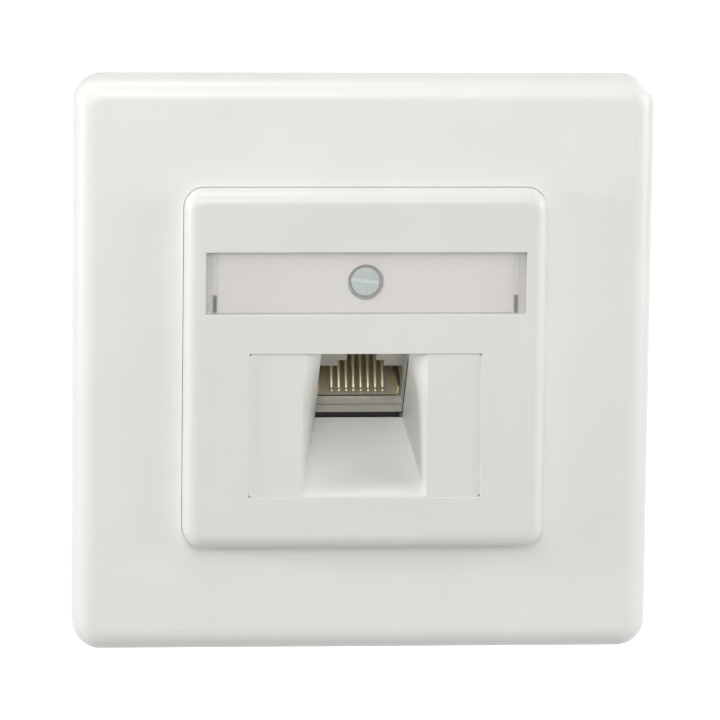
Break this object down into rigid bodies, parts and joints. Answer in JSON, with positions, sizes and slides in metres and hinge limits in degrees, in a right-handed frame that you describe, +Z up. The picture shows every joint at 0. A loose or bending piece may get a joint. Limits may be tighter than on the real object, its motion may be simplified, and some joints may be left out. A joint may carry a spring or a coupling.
{
  "type": "ethernet connection box",
  "caption": "Square flush wall outlet with a cover frame, a raised central plate, a label window and a slanted chute that leads to a shielded network jack.",
  "frame": {"origin": "centre of the wall plane behind the support plate, between the wall screws", "axes": "+X to the right, +Z up, +Y into the wall; the visible front faces -Y"},
  "size_m": [0.08, 0.0438, 0.08],
  "materials": {
    "white_plastic": "moulded, satin gloss",
    "paper": "matt paper",
    "clear_plastic": "clear moulded plastic",
    "zinc_plated_steel": "bright zinc plate",
    "sheet_steel": "galvanised sheet",
    "die_cast": "zinc die casting, tumbled",
    "nickel_sheet": "nickel-plated sheet",
    "jack_plastic": "moulded, matt",
    "gold_plate": "gold-plated wire",
    "board": "glass-fibre laminate",
    "terminal_plastic": "moulded, matt",
    "tin_plate": "tin-plated bronze"
  },
  "bodies": {
    "outlet": {"cover_frame": "white_plastic", "central_plate": "white_plastic", "outlet_insert": "white_plastic", "label_strip": "paper", "plate_screw": "zinc_plated_steel", "support_plate": "sheet_steel", "housing_body": "die_cast", "housing_screws": "zinc_plated_steel", "hinge_pin": "zinc_plated_steel", "jack_shield": "nickel_sheet", "jack_body": "jack_plastic", "jack_contacts": "gold_plate", "shield_springs": "nickel_sheet", "circuit_board": "board", "terminal_block_upper": "terminal_plastic", "terminal_block_lower": "terminal_plastic", "terminal_contacts_upper": "tin_plate", "terminal_contacts_lower": "tin_plate", "board_screws": "zinc_plated_steel", "cable_clamp": "nickel_sheet", "clamp_screws": "zinc_plated_steel"},
    "window": {"label_window": "clear_plastic"},
    "cover": {"housing_cover": "die_cast"}
  },
  "joints": [
    {"name": "window_pull", "type": "slide", "parent": "outlet", "child": "window", "axis": [0, -1, 0], "range_m": [0, 0.005]},
    {"name": "cover_hinge", "type": "hinge", "parent": "outlet", "child": "cover", "pos_m": [0, 0.01163, -0.01352], "axis": [-1, 0, 0], "range_deg": [0, 90]}
  ]
}
